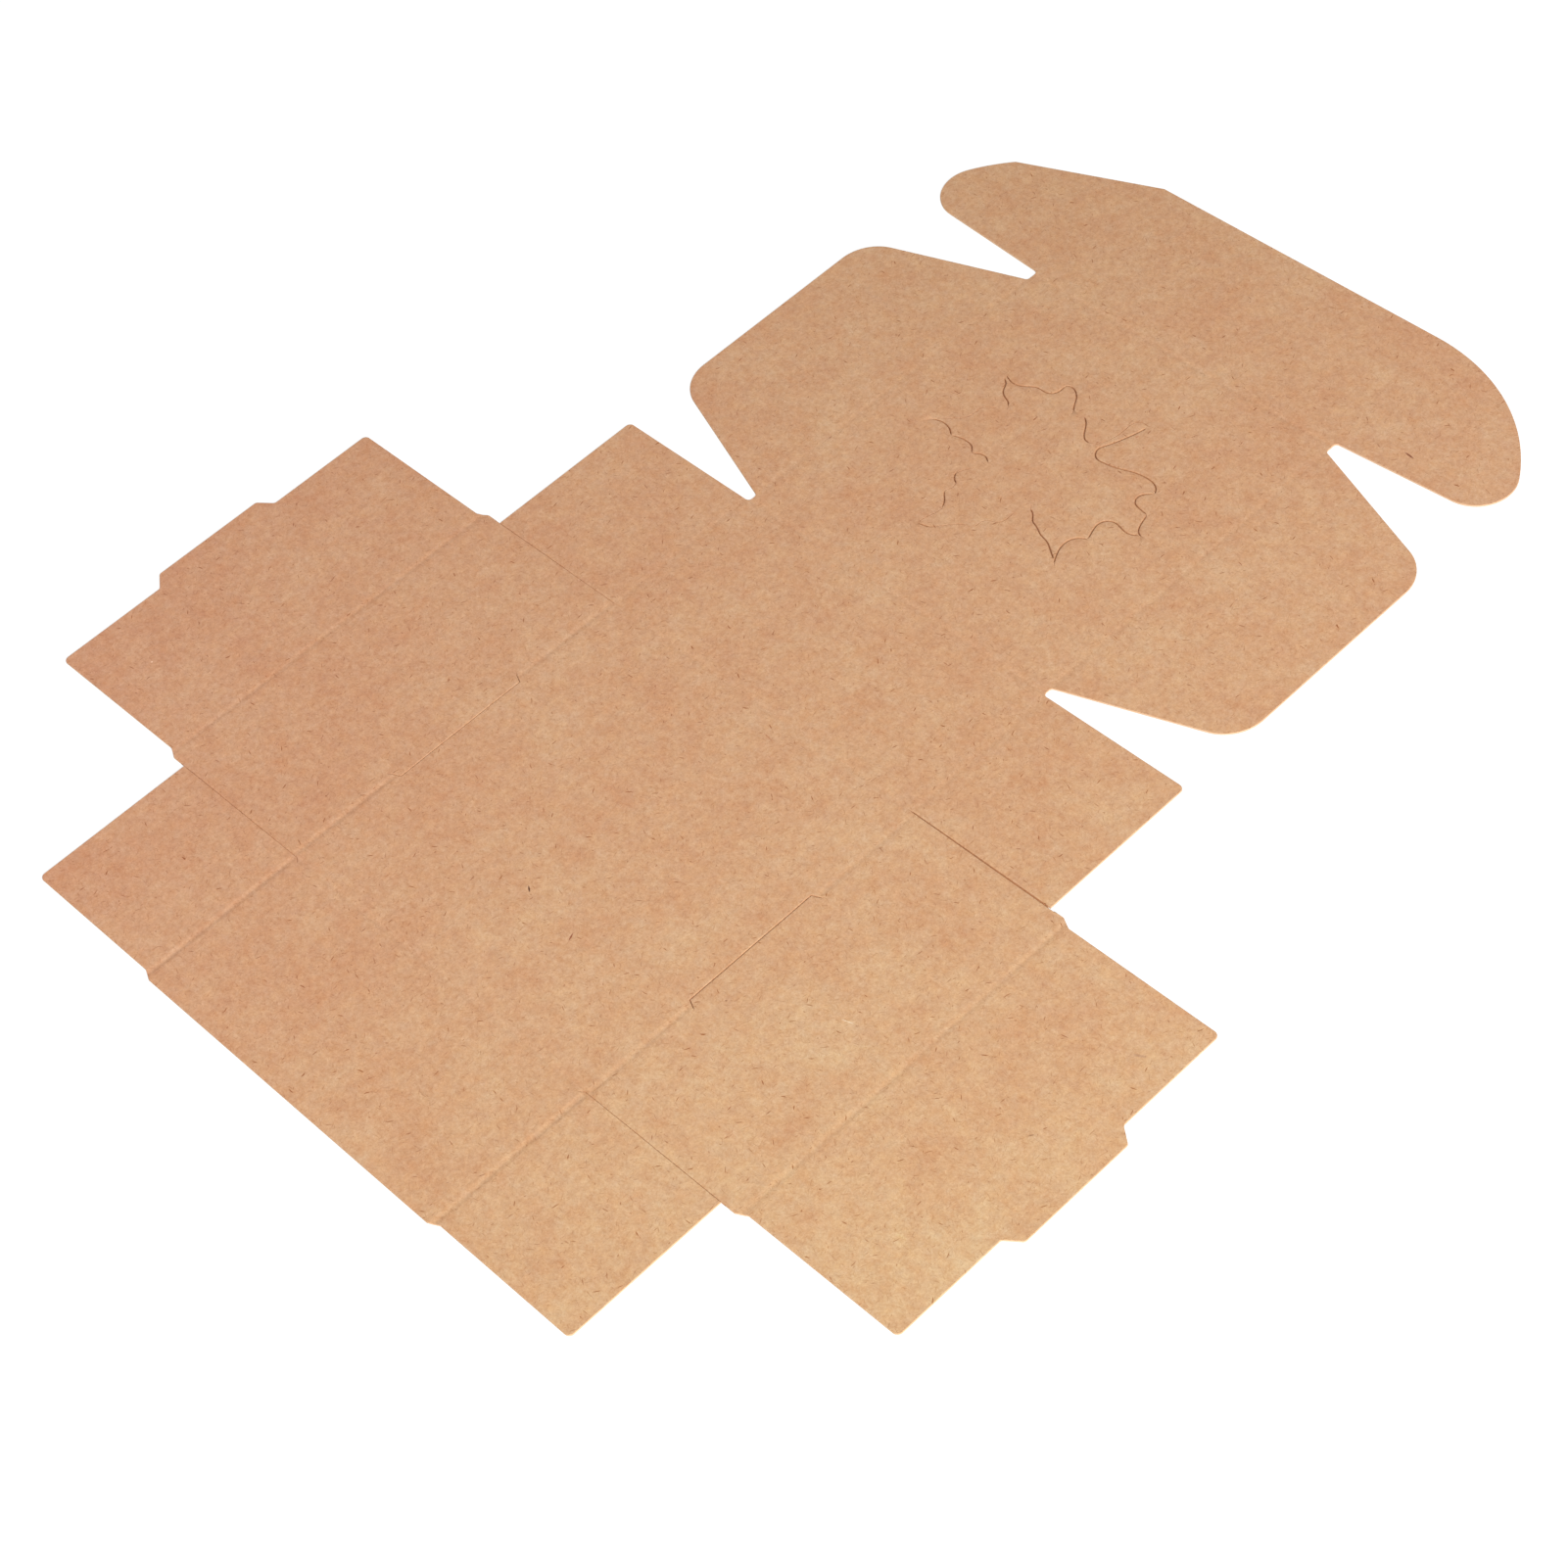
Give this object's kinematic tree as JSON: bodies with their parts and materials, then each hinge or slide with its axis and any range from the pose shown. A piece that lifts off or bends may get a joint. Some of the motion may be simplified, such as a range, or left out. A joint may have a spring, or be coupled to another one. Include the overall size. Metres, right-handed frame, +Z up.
{
  "type": "flattened cardboard box",
  "caption": "Flat die-cut kraft card blank, creased and slit to fold up into a square mailer box with rolled side walls, corner flaps, a winged lid and a tuck flap.",
  "frame": {"origin": "underside of the card, at the centre of the bottom panel", "axes": "+Z up from the underside to the creased outside face, +X towards a side wall, +Y from the front wall towards the lid and its tuck flap"},
  "size_m": [0.2342, 0.267, 0.0005],
  "materials": {
    "card": "matt uncoated kraft"
  },
  "bodies": {
    "root": {"box_blank": "card"}
  },
  "joints": []
}
